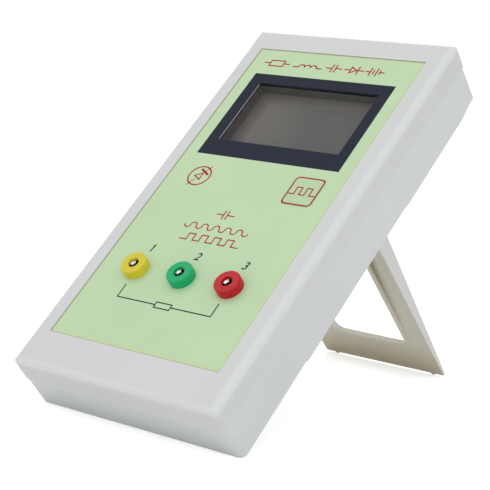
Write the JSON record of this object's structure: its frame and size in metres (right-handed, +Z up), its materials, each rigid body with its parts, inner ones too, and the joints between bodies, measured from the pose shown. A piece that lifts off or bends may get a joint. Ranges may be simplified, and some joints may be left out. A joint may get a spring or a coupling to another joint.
{
  "type": "component tester",
  "caption": "Hand-held electronic component tester leaning on a fold-out stand, with a graphic display, a test key and a row of test sockets.",
  "frame": {"origin": "centre of the footprint, on the surface that the tester stands on", "axes": "+Z up, +X to the right of someone reading the display, +Y from the lower edge of the case back towards the stand's foot"},
  "size_m": [0.093, 0.1716, 0.1347],
  "materials": {
    "case_front": "moulded, fine texture",
    "case_rear": "moulded, fine texture",
    "label": "printed polyester, satin",
    "clear_sheet": "clear acrylic, polished",
    "black_plastic": "moulded, satin",
    "display_glass": "satin polariser over glass",
    "backlight": "translucent, smooth",
    "circuit_board": "glass-epoxy, semi-gloss",
    "key_film": "printed polyester, satin",
    "ivory_plastic": "moulded",
    "yellow_plastic": "moulded, glossy",
    "green_plastic": "moulded, glossy",
    "red_plastic": "moulded, glossy",
    "nickel": "nickel plated",
    "zinc_screw": "zinc plated",
    "capacitor_sleeve": "shrink sleeve",
    "resistor_lacquer": "lacquered",
    "battery_jacket": "printed steel jacket",
    "red_insulation": "PVC",
    "black_insulation": "PVC",
    "foam": "closed-cell foam",
    "stand_plastic": "moulded, fine texture"
  },
  "bodies": {
    "case": {"front_cover": "case_front", "rear_cover": "case_rear", "front_label": "label", "display_window": "clear_sheet", "display_frame": "black_plastic", "display_glass": "display_glass", "display_backlight": "backlight", "display_board": "circuit_board", "display_header": "black_plastic", "display_screws": "zinc_screw", "switch_body": "black_plastic", "socket_yellow": "yellow_plastic", "socket_green": "green_plastic", "socket_red": "red_plastic", "socket_contacts": "nickel", "socket_nuts": "nickel", "main_board": "circuit_board", "chip_socket": "black_plastic", "microcontroller": "black_plastic", "crystal": "nickel", "voltage_regulator": "black_plastic", "capacitors": "capacitor_sleeve", "resistors": "resistor_lacquer", "board_screws": "zinc_screw", "battery": "battery_jacket", "battery_snap": "black_plastic", "battery_lead_red": "red_insulation", "battery_lead_black": "black_insulation", "case_screws": "zinc_screw"},
    "stand": {"kickstand": "stand_plastic"},
    "battery_hatch": {"battery_door": "case_rear", "battery_pad": "foam"},
    "key": {"test_key": "key_film", "key_plunger": "ivory_plastic"}
  },
  "joints": [
    {"name": "stand_hinge", "type": "hinge", "parent": "case", "child": "stand", "pos_m": [0, 0.01357, 0.07904], "axis": [1, 0, 0], "range_deg": [-88.5, 0]},
    {"name": "battery_door_hinge", "type": "hinge", "parent": "case", "child": "battery_hatch", "pos_m": [0, -0.06546, 0.00465], "axis": [-1, 0, 0], "range_deg": [0, 75]},
    {"name": "test_key_press", "type": "slide", "parent": "case", "child": "key", "axis": [0, 0.6674, -0.7447], "range_m": [0, 0.00025], "stiffness_N_per_m": 800}
  ]
}
